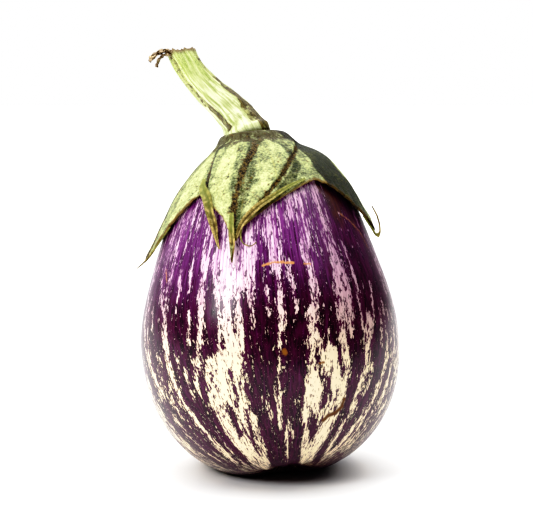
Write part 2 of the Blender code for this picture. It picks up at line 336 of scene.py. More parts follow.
# Painted in order: how dark (1 purple, -1 cream), half width in degrees, and the stroke's
# line as bearing and polar angle.
STROKES = (
    # violet streaks below the calyx, front left
    (0.35, 1.2, ((-52, 36), (-51, 50))), (0.4, 1.4, ((-46, 35), (-45, 50))),
    (0.3, 1.0, ((-41, 36), (-41, 47))), (0.55, 2.6, ((-34, 38), (-35, 58))),
    # far left: alternating streaks
    (0.9, 3.2, ((-80, 52), (-77, 75), (-73, 92), (-66, 110), (-58, 128), (-50, 142))),
    (0.9, 2.2, ((-64, 46), (-61, 62), (-58, 76), (-55, 85))),
    (0.9, 1.2, ((-66, 60), (-63, 84))), (0.8, 1.3, ((-56, 45), (-53, 58))),
    (0.8, 1.6, ((-61, 84), (-60, 96))), (0.5, 1.0, ((-57, 90), (-56, 94))),
    (0.8, 1.3, ((-53.5, 82), (-52, 98), (-50, 108), (-47, 120), (-44, 130))),
    (0.85, 1.9, ((-57, 112), (-50, 122), (-46, 133), (-41, 146))),
    (0.8, 1.4, ((-68, 104), (-60, 120), (-54, 132), (-47, 144))),
    (0.9, 1.7, ((-45, 117), (-42, 131), (-36, 145))),
    # the broad dark band, front left
    (1.0, 9.0, ((-40, 60), (-39.5, 72), (-38, 92), (-38, 100))),
    (1.0, 6.5, ((-38, 96), (-38, 108), (-36, 114))),
    (1.0, 2.4, ((-38, 112), (-35, 126), (-31, 142))),
    (0.9, 1.2, ((-33, 108), (-28, 124), (-25.5, 137))),
    (0.9, 1.5, ((-31, 122), (-28, 134), (-24, 146))),
    (1.0, 3.6, ((-24.5, 68), (-24.5, 84))), (1.0, 3.5, ((-30, 84), (-28, 92))),
    (0.7, 2.2, ((-28, 92), (-28, 100), (-30, 108))),
    (-1.0, 1.3, ((-28.5, 55), (-28.5, 70), (-29.5, 86))), (-0.9, 1.2, ((-43, 59), (-42.5, 66))),
    (-0.7, 0.9, ((-36.5, 58), (-36, 63))), (-0.8, 1.0, ((-35, 76), (-35.3, 86))),
    (-0.7, 1.0, ((-31, 92), (-31.5, 97))), (-0.5, 0.8, ((-43, 92), (-43, 101))),
    (-0.5, 1.0, ((-39, 99), (-38, 110))), (-0.7, 1.2, ((-33.5, 97), (-34, 104))),
    (-1.0, 1.2, ((-50, 84), (-48, 98), (-45, 110), (-40, 122), (-35, 134), (-33, 142))),
    # cream field between the two broad bands
    (-1.0, 4.0, ((-20, 58), (-16, 76), (-17, 92), (-20, 105), (-22, 125), (-17, 142))),
    (-1.0, 4.0, ((-13, 58), (-12, 76), (-14, 92), (-19, 108), (-17, 130), (-14, 145))),
    (-0.9, 3.0, ((-6, 52), (-6, 66))), (-0.8, 2.4, ((-26, 100), (-27, 112), (-25, 122))),
    (0.9, 0.7, ((-18.8, 73), (-18.6, 90))), (0.6, 1.1, ((-13, 72), (-13, 84))),
    (0.8, 1.5, ((-8.5, 71), (-8, 79))), (0.9, 1.7, ((-7.5, 80), (-7, 88))),
    (0.7, 0.6, ((-18.7, 103), (-18.4, 111))), (0.7, 0.6, ((-16.6, 104), (-16.3, 115))),
    (0.8, 1.0, ((-21.5, 116), (-21, 121))), (0.9, 1.2, ((-19.6, 118), (-19.4, 126))),
    (0.9, 0.6, ((-16.5, 125), (-16.4, 128))), (0.9, 0.7, ((-13.4, 127), (-13.3, 130))),
    (0.9, 0.7, ((-13.5, 134), (-13.3, 138))), (0.6, 0.6, ((-17, 143), (-17, 145))),
    # the broad dark centre
    (1.0, 3.0, ((0, 62), (-1, 80), (-4, 92), (-6, 102), (-8, 116), (-8, 122))),
    (1.0, 4.6, ((2, 72), (2, 92), (-3, 104), (-6, 112), (-6, 122))),
    (1.0, 5.5, ((-2, 118), (-2, 132), (-3, 148))),
    (1.0, 7.5, ((9, 58), (9, 80), (8, 100), (8, 120))), (1.0, 5.5, ((8, 116), (8, 132), (8, 150))),
    (0.7, 2.6, ((12, 36), (12, 50), (11, 60))), (0.5, 1.0, ((8.5, 36), (9.5, 48))),
    (0.8, 1.8, ((0.5, 50), (1, 64))),
    (-1.0, 2.0, ((6, 38), (6.5, 56))), (-0.9, 0.8, ((7.4, 56), (7.2, 70))),
    (-0.9, 1.6, ((7.5, 69), (7.5, 80))), (-0.9, 1.0, ((7.2, 79), (5.2, 90))),
    (-0.8, 0.5, ((5.2, 89), (3.8, 100), (3.4, 113))), (-0.7, 0.9, ((1.8, 69), (1.8, 76))),
    (-0.6, 1.2, ((13.5, 62), (14, 78))), (-0.8, 0.9, ((1.6, 114), (1.8, 124))),
    (-0.6, 1.1, ((-11, 122), (-9.5, 130))), (-0.5, 1.0, ((6, 127), (7.5, 131))),
    (-0.9, 0.6, ((4.6, 130), (4.2, 146))), (-0.5, 1.0, ((-3, 116), (-2, 121))),
    (-0.8, 1.1, ((17.5, 36), (17.5, 50), (16.5, 60))),
    # right of the centre
    (1.0, 3.4, ((17.5, 52), (18, 70), (17, 82))), (1.0, 4.2, ((27.5, 46), (28.5, 70), (27, 96))),
    (1.0, 3.0, ((23, 80), (25, 97))), (0.8, 2.0, ((31, 40), (32, 60))),
    (1.0, 1.6, ((18, 120), (17, 128))), (0.8, 2.0, ((19, 124), (18, 132))),
    (-0.7, 2.2, ((22, 57), (23.5, 66), (23.5, 74), (21, 80))),
    (-0.7, 1.7, ((19, 84), (18.5, 92), (18, 98))), (-0.5, 1.4, ((22, 90), (23, 99))),
    (-0.4, 1.6, ((24, 34), (25, 50))),
    (-1.0, 3.4, ((20, 106), (20, 116))), (-1.0, 3.6, ((27, 102), (29, 112), (27, 121))),
    (-1.0, 2.0, ((33, 94), (33, 106), (31, 118))), (-0.8, 2.0, ((19, 93), (20, 99))),
    (-0.9, 2.2, ((16, 112), (14, 122))),
    (-0.9, 3.2, ((27, 122), (25, 132), (22, 142))), (-1.0, 2.6, ((22, 138), (17, 147))),
    (-0.8, 1.5, ((15, 132), (14.5, 140))),
    (0.9, 0.8, ((23, 114), (22.5, 119))), (0.6, 1.2, ((21, 104), (22, 108))),
    (0.9, 0.8, ((25.5, 112), (26, 115))), (0.8, 0.6, ((30, 115), (29.5, 121))),
    (0.9, 0.9, ((31.3, 95), (31.3, 97))), (0.7, 1.0, ((32, 104), (32.3, 106))),
    (0.9, 0.9, ((20.5, 96), (20.5, 99))),
    # right shoulder and flank: dark with thin pale streaks
    (0.9, 13.0, ((54, 36), (54, 60), (56, 78))), (1.0, 3.0, ((46, 76), (43, 90), (42, 100))),
    (1.0, 2.4, ((38, 92), (39, 104), (37, 116), (32, 132), (27, 147))),
    (1.0, 5.0, ((66, 60), (64, 80))), (1.0, 3.4, ((53, 92), (52, 106), (46, 121), (39, 133), (32, 146))),
    (1.0, 1.6, ((50, 110), (44, 124), (38, 133))), (0.9, 2.2, ((58, 96), (56, 108))),
    (-0.8, 1.3, ((37, 48), (37.5, 62), (36.5, 72))), (-0.8, 1.1, ((35.5, 70), (33.6, 84), (33.5, 96))),
    (-0.7, 1.2, ((40.5, 64), (40, 76), (38, 87))), (-0.6, 0.9, ((46, 57), (46.5, 70))),
    (-0.6, 0.9, ((46, 74), (45, 86))), (-0.7, 0.8, ((57, 70), (54.5, 79), (52, 86))),
    (-0.7, 1.8, ((50, 86), (49, 94))), (-0.8, 1.4, ((47, 92), (45.5, 104), (43, 112))),
    (-0.8, 1.0, ((43, 110), (40, 119))), (-0.8, 0.8, ((50, 106), (47.5, 114), (42, 121))),
    (-0.8, 1.1, ((59, 83), (57.5, 95))), (-0.6, 1.1, ((62.5, 80), (62, 90))),
    (-0.7, 1.3, ((63, 95), (60, 105), (56, 116), (50, 126))),
    (-0.7, 1.8, ((49, 126), (44, 134), (39, 142), (34, 149))),
    (-0.9, 1.5, ((35, 132), (32.5, 141))), (-0.7, 0.9, ((66, 84), (66, 96))),
    (-0.8, 1.1, ((70, 98), (64, 114), (56, 127), (49, 138))),
    (0.9, 1.1, ((63, 108), (57, 121), (52, 130))),
)
STROKE_SOFTNESS = 1.0          # half the width of a stroke's faded edge, degrees
BOTTOM_PURPLE_AND_SHADE = 0.7          # extra purple around the blossom end: partly its real dark streaks, partly painted shade near where the fruit rests on the floor
FLANK_DARKNESS = 0.35          # extra purple on the right-hand flank
LEFT_SHARE = 0.7               # of that, on the upper left-hand flank

# The same kind of strokes, scattered over the side that this list doesn't reach
BACK_STROKES = 130
BACK_FROM, BACK_TO = 78.0, 282.0

# Rust-coloured skin under the right-hand sepal
BRONZE = ((1.0, 5.0, ((43, 33), (49, 37))), (0.7, 2.0, ((56, 40), (62, 44))))


def stroke_cover(bearing, polar, half_width, line):
    """How much a stroke covers each place: 1 on its middle line, fading to 0 past its edge."""
    tops = np.array([p[1] for p in line], float)
    sides = np.array([p[0] for p in line], float)
    middle = np.interp(polar, tops, sides)
    off = np.abs((bearing - middle + 180.0) % 360.0 - 180.0)
    beyond = np.maximum(tops[0] - polar, polar - tops[-1])
    off = np.hypot(off, np.maximum(beyond, 0.0) * 0.5 * half_width / (0.6 + half_width))
    return 1.0 - smooth(half_width - STROKE_SOFTNESS, half_width + STROKE_SOFTNESS, off)


def scattered_strokes():
    """Dark and pale strokes for the side that STROKES leaves bare, denser in dark at the top."""
    dice = np.random.default_rng(7)
    strokes = []
    for _ in range(BACK_STROKES):
        bearing = dice.uniform(BACK_FROM, BACK_TO)
        top = dice.uniform(34, 135)
        length = dice.uniform(8, 46)
        width = 0.9 + 4.0 * dice.random() ** 2.2
        dark_share = 0.66 - 0.30 * smooth(60, 130, top)
        darkness = dice.uniform(0.7, 1.0) * (1.0 if dice.random() < dark_share else -1.0)
        slant = dice.uniform(-2.0, 2.0)
        strokes.append((darkness, width, ((bearing, top), (bearing + slant, top + length))))
    return strokes


def paint(bearing, polar, strokes, ground):
    field = np.full(bearing.shape, float(ground))
    for darkness, half_width, line in strokes:
        cover = stroke_cover(bearing, polar, half_width, line)
        field += (darkness - field) * cover
    return field


def grain_bearing(bearing, polar):
    """The bearing that a streak keeps on its way from the stem end to the blossom scar."""
    direction = directions(bearing, polar)
    scar_front = unit(FRONT - BLOSSOM * FRONT.dot(BLOSSOM))
    scar_side = np.cross(scar_front, BLOSSOM)
    by_scar = np.arctan2(direction @ scar_side, direction @ scar_front)
    turn = (by_scar - bearing + math.pi) % math.tau - math.pi
    return bearing + turn * smooth(math.radians(40), math.radians(95), polar)


def make_fruit():
    bearing_line = (np.arange(FRUIT_COLUMNS) / FRUIT_COLUMNS) * math.tau - math.pi
    polar_line = math.pi * (np.arange(FRUIT_RINGS) + 1) / (FRUIT_RINGS + 1)
    bearing, polar = np.meshgrid(bearing_line, polar_line)
    grain = grain_bearing(bearing, polar)
    points = skin_points(bearing, polar)
    normals = skin_normals(bearing, polar)
    direction = directions(bearing, polar)
    from_scar = np.arccos(np.clip(direction @ BLOSSOM, -1.0, 1.0)) / DIMPLE_SPREAD
    folds = np.cos(PUCKERS * grain) * np.exp(-0.5 * ((from_scar - 1.1) / 0.7) ** 2)
    height = ripples(bearing, polar, 3, 14, 0.5 * MM) + PUCKER_DEPTH * folds
    height *= smooth(0.0, 4.0 * MM, points[..., 2])
    points = rest_on_ground(points + normals * height[..., None])

    bearing_degrees = np.degrees(bearing)
    polar_degrees = np.degrees(polar)
    behind = smooth(74.0, 84.0, np.abs(bearing_degrees))
    drawn = paint(bearing_degrees, polar_degrees, STROKES, -0.05)
    scattered = paint(np.degrees(grain) % 360.0, polar_degrees, scattered_strokes(), 0.1)
    dark = drawn * (1.0 - behind) + scattered * behind
    # Real streaks and painted shade: more purple round the blossom end, near where the fruit rests
    dark += BOTTOM_PURPLE_AND_SHADE * smooth(143.0, 160.0, polar_degrees)
    dark += FLANK_DARKNESS * smooth(34.0, 62.0, bearing_degrees) * (1.0 - behind)
    left_flank = smooth(44.0, 62.0, -bearing_degrees) * (1.0 - smooth(84.0, 112.0, polar_degrees))
    dark += FLANK_DARKNESS * LEFT_SHARE * left_flank * (1.0 - behind)
    from_front_left = np.abs(bearing_degrees + 16.0)
    violet = 1.0 - 0.8 * smooth(36.0, 66.0, from_front_left)
    violet *= 1.0 - smooth(44.0, 80.0, polar_degrees)
    grain_vector = np.stack((np.cos(grain), np.sin(grain), polar * GRAIN_STRETCH), axis=-1)
    attributes = {
        "grain": grain_vector,
        "dark": dark,
        "upper": violet,
        "tint": 1.0 - smooth(50.0, 104.0, polar_degrees),
        # painted shade: the ground colour is darkened on the upper right, away from the key light
        "right_painted_shade": smooth(12.0, 44.0, bearing_degrees) * (1.0 - smooth(78.0, 108.0, polar_degrees)),
        "bronze": paint(bearing_degrees, polar_degrees, BRONZE, 0.0),
        "scar": np.exp(-0.5 * (from_scar / 0.45) ** 2),
    }
    ground_tip = rest_on_ground(skin_points(np.zeros(1), np.full(1, math.pi)))[0]
    piece = closed_rings_object("fruit_skin", points, stem_end(), ground_tip, attributes,
                                uv=polar_line / math.pi)
    piece.data.materials.append(skin_material())
    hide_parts("fruit")
    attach(piece, "root")


# Healed marks on the skin: colour, strength, half width in degrees and line
CORK = srgb(196, 140, 84)
RUST = srgb(128, 80, 30)
BARK = srgb(92, 54, 16)
MARKS = (
    (CORK, 0.9, 0.45, ((0.8, 59.4), (6.0, 58.6), (11.5, 59.2), (15.5, 59.6))),
    (CORK, 0.8, 0.35, ((20.5, 60.4), (23.5, 60.8))),
    (RUST, 1.0, 1.0, ((6.6, 94.6), (6.8, 95.6))),
    (RUST, 0.9, 0.45, ((21.2, 101.2), (23.2, 101.3))),
    (BARK, 1.0, 0.95, ((23.5, 126.0), (25.5, 124.2), (29.5, 123.2), (32.6, 121.0), (33.4, 117.5))),
    (CORK, 0.6, 0.3, ((-56.5, 56.0), (-53.0, 61.0))),
    (CORK, 0.4, 0.25, ((50.0, 42.0), (58.0, 45.0), (66.0, 49.5), (69.0, 56.0))),
)


def mark_distance(tree, place, start, end):
    """Distance in degrees from a place on the skin to one straight piece of a mark."""
    ax, ay = start
    bx, by = end
    reach = (bx - ax) ** 2 + (by - ay) ** 2
    x, y = place
    from_x = calculate(tree, "SUBTRACT", x, ax)
    from_y = calculate(tree, "SUBTRACT", y, ay)
    along = multiply(tree, from_x, (bx - ax) / reach)
    along = multiply_add(tree, from_y, (by - ay) / reach, along, clamp=True)
    off_x = multiply_add(tree, along, ax - bx, from_x)
    off_y = multiply_add(tree, along, ay - by, from_y)
    squared = multiply(tree, off_x, off_x)
    squared = multiply_add(tree, off_y, off_y, squared)
    return calculate(tree, "SQRT", squared)


def skin_material():
    material, tree, shader = new_material("eggplant_skin")
    grain = attribute(tree, "grain", "Vector")
    dark = attribute(tree, "dark")
    upper = attribute(tree, "upper")

    broad = cloud(tree, stretch(tree, grain, (1, 1, 0.30)), 9.0, 3.0, 0.6)
    ragged = cloud(tree, stretch(tree, grain, (1, 1, 0.22)), 30.0, 4.0, 0.7, 0.2)
    fine = cloud(tree, stretch(tree, grain, (1, 1, 0.30)), 85.0, 3.0, 0.65)
    streaks = cloud(tree, stretch(tree, grain, (1, 1, 0.06)), 62.0, 3.0, 0.65)

    field = add_scaled(tree, dark, broad, 1.4, 0.56)
    field = add_scaled(tree, field, ragged, 7.0, 3.4)
    field = add_scaled(tree, field, fine, 5.0, 2.5)
    lift = calculate(tree, "SUBTRACT", streaks, 0.5)
    lift = multiply(tree, lift, multiply_add(tree, upper, 5.0, 1.2))
    field = calculate(tree, "ADD", field, lift)
    edge = multiply_add(tree, upper, 0.45, 0.10)
    cover = ease(tree, field, multiply(tree, edge, -1.0), edge)

    # short flecks of purple on the cream, and pinholes of light in the purple
    flecks = cloud(tree, stretch(tree, grain, (1, 1, 0.30)), 52.0, 2.0, 0.5)
    flecks = add_scaled(tree, flecks, broad, 0.25, 0.125)
    fleck = ease(tree, flecks, 0.615, 0.65)
    pinhole = ease(tree, cloud(tree, stretch(tree, grain, (1, 1, 0.7)), 120.0, 1.0, 0.5), 0.70, 0.76)
    cover = calculate(tree, "MAXIMUM", cover, multiply(tree, fleck, 0.85))
    cover = calculate(tree, "SUBTRACT", cover, multiply(tree, pinhole, 0.35), clamp=True)

    cream = blend_colours(tree, ragged, srgb(226, 204, 168), srgb(246, 230, 200))
    lilac = blend_colours(tree, ease(tree, streaks, 0.3, 0.7), srgb(238, 208, 224), srgb(166, 112, 158))
    ground = blend_colours(tree, attribute(tree, "tint"), cream, lilac)
    # Painted shade on the upper right: the ground colour is pulled towards a dull mauve
    right_painted_shade = multiply(tree, attribute(tree, "right_painted_shade"), 0.6)
    ground = blend_colours(tree, right_painted_shade, ground, srgb(132, 88, 112))
    deep = blend_colours(tree, ease(tree, ragged, 0.34, 0.68), srgb(14, 2, 12), srgb(72, 18, 54))
    deep = blend_colours(tree, ease(tree, streaks, 0.52, 0.70, 0.0, 0.45), deep, srgb(96, 36, 84))
    violet = blend_colours(tree, ease(tree, streaks, 0.34, 0.66), srgb(36, 6, 36), srgb(136, 66, 138))
    ink = blend_colours(tree, multiply(tree, upper, 0.75), deep, violet)
    colour = blend_colours(tree, cover, ground, ink)

    # rust under the sepal and corky tissue in the blossom scar
    rusty = multiply(tree, attribute(tree, "bronze"), ease(tree, ragged, 0.36, 0.62))
    colour = blend_colours(tree, multiply(tree, rusty, 0.8), colour, srgb(74, 46, 26))
    colour = blend_colours(tree, multiply(tree, attribute(tree, "scar"), 0.85),
                           colour, srgb(92, 66, 44))
    colour, marks = add_marks(tree, colour)
    feed(tree, shader.inputs["Base Color"], colour)

    gloss = multiply_add(tree, fine, 0.12, 0.24)
    gloss = multiply_add(tree, marks, 0.3, gloss)
    feed(tree, shader.inputs["Roughness"], gloss)
    shader.inputs["Specular IOR Level"].default_value = 0.3
    shader.inputs["Coat Weight"].default_value = 0.12
    shader.inputs["Coat Roughness"].default_value = 0.15
    height = multiply_add(tree, broad, 0.6, multiply(tree, fine, 0.25))
    height = multiply_add(tree, marks, 0.5, height)
    raise_surface(tree, shader, height, 0.25 * MM, 0.5)
    return material


def add_marks(tree, colour):
    """Draw each healed mark over the colour. Returns the colour and where any mark lies."""
    map_node = tree.nodes.new("ShaderNodeUVMap")
    map_node.uv_map = "OFBake"
    split = tree.nodes.new("ShaderNodeSeparateXYZ")
    tree.links.new(map_node.outputs[0], split.inputs[0])
    wobble = cloud(tree, map_node.outputs[0], 260.0, 3.0, 0.7)
    wobble = calculate(tree, "SUBTRACT", wobble, 0.5)
    bearing = multiply_add(tree, split.outputs[0], 360.0, -180.0)
    polar = multiply_add(tree, split.outputs[1], -180.0, 180.0)
    place = (multiply_add(tree, wobble, 2.2, bearing),
             multiply_add(tree, wobble, -2.2, polar))
    everywhere = 0.0
    for tint, strength, half_width, line in MARKS:
        nearest = None
        for start, end in zip(line, line[1:]):
            distance = mark_distance(tree, place, start, end)
            nearest = distance if nearest is None else calculate(tree, "MINIMUM", nearest, distance)
        mark = ease(tree, nearest, half_width * 1.5, half_width * 0.5, 0.0, strength)
        colour = blend_colours(tree, mark, colour, tint)
        everywhere = calculate(tree, "MAXIMUM", mark, everywhere)
    return colour, everywhere


# ---------------------------------------------------------------- the calyx

# Bearing, polar angle and stand-off in millimetres of the calyx's margin. It follows the CAD,
# but the dry strip left of the front tip is a piece of its own, in STRIPS
CALYX_OUTLINE = (
    (-180, 33, 0.2), (-166, 35, 0.3), (-154, 40, 0.8), (-147, 47, 2.0),
    (-142, 55, 4.5),                                     # tip, back left
    (-138, 47, 2.0), (-130, 40, 0.8), (-119, 35, 0.3), (-112, 33, 0.2),
    (-104, 36, 0.3), (-97, 39, 0.5), (-91, 43, 0.7), (-86, 47, 1.0),
    (-82, 53, 2.4),                                      # tip, left
    (-78, 48.5, 0.9), (-73, 46, 0.6), (-66, 43, 0.6), (-58, 38.5, 0.4), (-50, 34.5, 0.3),
    (-42, 31, 0.2), (-36, 33, 0.3), (-30, 35.5, 0.4), (-24, 38.5, 0.5), (-20, 40.8, 0.4),
    (-17, 44, 0.5), (-15.2, 46.8, 0.5),
    (-13.5, 57, 1.0),                                    # tip, front
    (-11.9, 46.5, 0.5), (-2, 41.5, 0.3), (8, 37.5, 0.3), (19, 34.2, 0.2), (29, 31.8, 0.2),
    (38, 30.2, 0.2), (45, 31.7, 0.3), (51, 33.8, 0.4), (59, 37.2, 0.5), (67, 41.3, 0.7),
    (74, 45, 1.0),
    (79, 50, 1.8),                                       # tip, right
    (84, 46, 1.3), (92, 41, 0.8), (102, 37, 0.4), (112, 34, 0.2), (121, 36, 0.3),
    (132, 40, 0.8), (140, 47, 2.0),
    (145, 54, 4.5),                                      # tip, back right
    (149, 47, 2.0), (156, 40, 0.8), (167, 35, 0.3), (180, 33, 0.2),
)
CALYX_GAP = 0.35 * MM
CROWN_THICKNESS = 2.3 * MM
MARGIN_THICKNESS = 0.8 * MM
LEAST_THICKNESS = 0.35 * MM     # under the deepest folds
THINNING_POWER = 0.4
CROWN_RADIUS = 7.6 * MM
CALYX_ROWS = 84
CALYX_STEP = 0.9               # largest step between columns, degrees

# Folds in the calyx: polar angle and bearing along each, its depth in millimetres, and how
# far the surface steps down across it, to the right if above 0 and to the left if below
FOLDS = (
    (((12, -60), (16, -51), (20, -44), (25, -40), (31, -36)), 1.0, -1.5),
    (((13, 2), (17, -4), (22, -10), (28, -13), (36, -14.5), (50, -13.5)), 0.7, 1.1),
    (((11, 76), (14, 56), (18, 38), (22, 26), (26, 19), (31, 10), (36, 2), (42, -8)), 0.7, 1.5),
    (((10, 100), (16, 90), (24, 83), (34, 80), (50, 79)), 0.35, 0.35),
    (((10, 128), (18, 136), (30, 143), (54, 145)), 0.4, 0.4),
    (((10, 118), (20, 113), (33, 112)), 0.4, -0.5),
    (((10, -160), (18, -150), (32, -144), (55, -142)), 0.4, 0.4),
    (((10, 172), (20, 178), (33, 180)), 0.4, 0.5),
    (((10, -118), (20, -113), (33, -112)), 0.4, -0.5),
    (((10, -92), (20, -86), (34, -84), (54, -82)), 0.35, 0.4),
)


def seat_middle():
    """The middle of the calyx's flat seat, which the stem stands on."""
    return stem_end() + AXIS * (CALYX_GAP + CROWN_THICKNESS)


def calyx_columns():
    """Outline points around the calyx, with small steps between them."""
    columns = []
    for start, end in zip(CALYX_OUTLINE, CALYX_OUTLINE[1:]):
        parts = max(3, math.ceil((end[0] - start[0]) / CALYX_STEP))
        for i in range(parts):
            share = i / parts
            columns.append([a + (b - a) * share for a, b in zip(start, end)])
    return np.array(columns)


def fold_offsets(bearing, polar, line):
    """Signed distance in millimetres from a fold's line, and how far the fold reaches here."""
    tops = np.array([p[0] for p in line], float)
    sides = np.array([p[1] for p in line], float)
    off = bearing - np.interp(polar, tops, sides)
    off = (off + 180.0) % 360.0 - 180.0
    distance = np.radians(off) * np.sin(np.radians(polar)) * (RADIUS / MM) * 0.98
    present = smooth(tops[0] - 4.0, tops[0] + 2.0, polar) * (1.0 - smooth(tops[-1], tops[-1] + 2.0, polar))
    return distance, present


def calyx_relief(bearing, polar):
    """Height in millimetres of folds and panel steps, and how creased each place is."""
    height = np.zeros(bearing.shape)
    crease = np.zeros(bearing.shape)
    for line, depth, step in FOLDS:
        distance, present = fold_offsets(bearing, polar, line)
        groove = np.exp(-(distance / 0.55) ** 2)
        below = distance * np.sign(step)
        panel = np.where(below > 0, -np.exp(-below / 3.5), 0.35 * np.exp(below / 3.0))
        panel *= smooth(0.0, 0.5, np.abs(distance))
        height += present * (abs(step) * panel - depth * groove)
        crease = np.maximum(crease, present * groove)
    return height, crease


def make_calyx():
    columns = calyx_columns()
    bearing_line = np.radians(columns[:, 0])
    crown = math.atan2(CROWN_RADIUS, STEM_END)
    share = np.linspace(0.0, 1.0, CALYX_ROWS + 1)
    edge = np.radians(columns[:, 1])
    polar = crown + (edge[None, :] - crown) * share[:, None]
    bearing = np.broadcast_to(bearing_line, polar.shape)
    shares = np.broadcast_to(share[:, None], polar.shape)
    wave = ripples(bearing * 3.0, polar * 7.0, 11, 16, 0.55 * MM) * np.sin(math.pi * shares)
    flutter = np.sin(bearing * 23.0 + 2.0 * np.sin(bearing * 7.0)) * 0.35 * MM * shares ** 8
    stand_off = columns[:, 2][None, :] * MM * shares ** 4
    lift = CALYX_GAP + stand_off + np.abs(flutter)
    thickness = CROWN_THICKNESS + (MARGIN_THICKNESS - CROWN_THICKNESS) * shares ** THINNING_POWER
    relief, crease = calyx_relief(np.degrees(bearing), np.degrees(polar))
    skin = skin_points(bearing, polar)
    normals = skin_normals(bearing, polar)
    fade = smooth(0.0, 0.22, shares)
    outer_lift = lift + np.maximum(thickness + fade * (relief * MM + wave), LEAST_THICKNESS)
    outer = skin + normals * outer_lift[..., None]
    inner = skin + normals * lift[..., None]
    seat = seat_middle()
    drop = (seat - outer) @ AXIS
    level_reach = 0.07 + 0.08 * smooth(0.0, 1.0, np.cos(bearing - math.radians(85.0)))
    outer += AXIS * (drop * (1.0 - smooth(0.0, 1.0, shares / level_reach)))[..., None]

    to_margin = (edge[None, :] - polar) * RADIUS / MM * GRAIN_STRETCH
    rings = np.concatenate((outer, inner[::-1]))

    def both(values):
        return np.concatenate((values, values[::-1]))

    grain = np.stack((np.cos(bearing), np.sin(bearing), polar * 1.2), axis=-1)
    attributes = {
        "grain": both(grain),
        "crease": both(crease),
        "margin": both(1.0 - smooth(0.0, 2.2, to_margin)),
        # painted light and shade of the panels
        "panel_painted_light": both(calyx_painted_light(np.degrees(bearing), np.degrees(polar))),
        "crown": both(1.0 - smooth(9.0, 17.0, np.degrees(polar))),
    }
    inner_tip = stem_end() + AXIS * CALYX_GAP
    piece = closed_rings_object("calyx_leaf", rings, seat, inner_tip, attributes)
    piece.data.materials.append(calyx_material())
    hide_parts("calyx")
    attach(piece, "root")


# Painted light and shade on the calyx's panels: 1 pale where a panel faces the light, -1 dark olive where
# it lies in shade
PANEL_PAINTED_LIGHT = (
    (0.9, 7.0, ((-26, 14), (-26, 30), (-20, 42))), (0.7, 9.0, ((-60, 16), (-54, 34))),
    (-0.5, 4.0, ((-4, 16), (-8, 28), (-11, 38))), (0.55, 6.0, ((22, 16), (10, 24), (-2, 36))),
    (-1.3, 15.0, ((72, 8), (58, 26), (66, 42))), (-0.8, 4.0, ((30, 24), (14, 33), (2, 39))),
    (-0.8, 6.0, ((100, 12), (92, 34))), (-0.8, 2.5, ((-48, 14), (-42, 22), (-38, 30))),
)


# Painted light and shade of the panels at each place on the calyx
def calyx_painted_light(bearing, polar):
    return paint(bearing, polar, PANEL_PAINTED_LIGHT, 0.0)


def calyx_material():
    material, tree, shader = new_material("calyx_green")
    place = object_place(tree)
    grain = attribute(tree, "grain", "Vector")
    panel_painted_light = attribute(tree, "panel_painted_light")
    per_mm = 1.0 / MM
    mottle = cloud(tree, place, 0.28 * per_mm, 4.0, 0.65)
    speckle = cloud(tree, place, 1.6 * per_mm, 3.0, 0.7)
    fibres = cloud(tree, stretch(tree, grain, (1, 1, 0.10)), 26.0, 4.0, 0.65)
    dry = cloud(tree, place, 0.55 * per_mm, 4.0, 0.7)

    # The green's lightness: painted light and shade of the panels, broken up by mottling and speckle
    light = multiply_add(tree, panel_painted_light, 0.45, 0.42)
    light = add_scaled(tree, light, mottle, 1.9, 0.95)
    light = add_scaled(tree, light, speckle, 2.2, 1.1, clamp=True)
    colour = blend_colours(tree, light, srgb(42, 56, 12), srgb(214, 222, 158))
    yellow = ease(tree, fibres, 0.50, 0.72, 0.0, 0.45)
    colour = blend_colours(tree, yellow, colour, srgb(176, 172, 92))
    hairs = ease(tree, cloud(tree, place, 3.4 * per_mm, 2.0, 0.6), 0.60, 0.74, 0.0, 0.45)
    colour = blend_colours(tree, hairs, colour, srgb(236, 238, 210))

    brown = add_scaled(tree, attribute(tree, "margin"), dry, 1.2, 0.95)
    brown = ease(tree, brown, 0.15, 0.75)
    margin_colour = blend_colours(tree, dry, srgb(66, 44, 18), srgb(176, 146, 88))
    colour = blend_colours(tree, brown, colour, margin_colour)
    patch = add_scaled(tree, attribute(tree, "crown"), dry, 3.0, 1.95)
    colour = blend_colours(tree, ease(tree, patch, 0.0, 0.5, 0.0, 0.85), colour, srgb(62, 46, 22))
    # Creases dark brown to black: partly the ridges' real dry edging, partly painted shade in the grooves
    seam = add_scaled(tree, attribute(tree, "crease"), dry, 2.6, 1.3)
    crease_and_shade_colour = blend_colours(tree, ease(tree, speckle, 0.45, 0.6), srgb(26, 18, 6), srgb(124, 96, 44))
    colour = blend_colours(tree, ease(tree, seam, 0.1, 0.6, 0.0, 0.95), colour, crease_and_shade_colour)
    spots = ease(tree, cells(tree, place, 0.32 * per_mm), 0.16, 0.08, 0.0, 0.7)
    colour = blend_colours(tree, spots, colour, srgb(120, 92, 30))
    veins = ease(tree, fibres, 0.46, 0.60, 0.0, 0.8)
    # Painted shade: the darkest panels are multiplied towards dark olive, with veins left showing
    shaded = blend_colours(tree, veins, srgb(168, 166, 122), srgb(74, 62, 40))
    shade = ease(tree, panel_painted_light, -1.1, -0.3, 1.0, 0.0)
    colour = blend_colours(tree, shade, colour, shaded, "MULTIPLY")
    feed(tree, shader.inputs["Base Color"], colour)

    feed(tree, shader.inputs["Roughness"], multiply_add(tree, mottle, 0.25, 0.42))
    shader.inputs["Specular IOR Level"].default_value = 0.3
    shader.inputs["Sheen Weight"].default_value = 0.05
    shader.inputs["Sheen Roughness"].default_value = 0.5
    height = multiply_add(tree, fibres, 0.8, multiply(tree, speckle, 0.6))
    height = multiply_add(tree, mottle, 1.2, height)
    raise_surface(tree, shader, height, 1.0 * MM, 1.0)
    return material


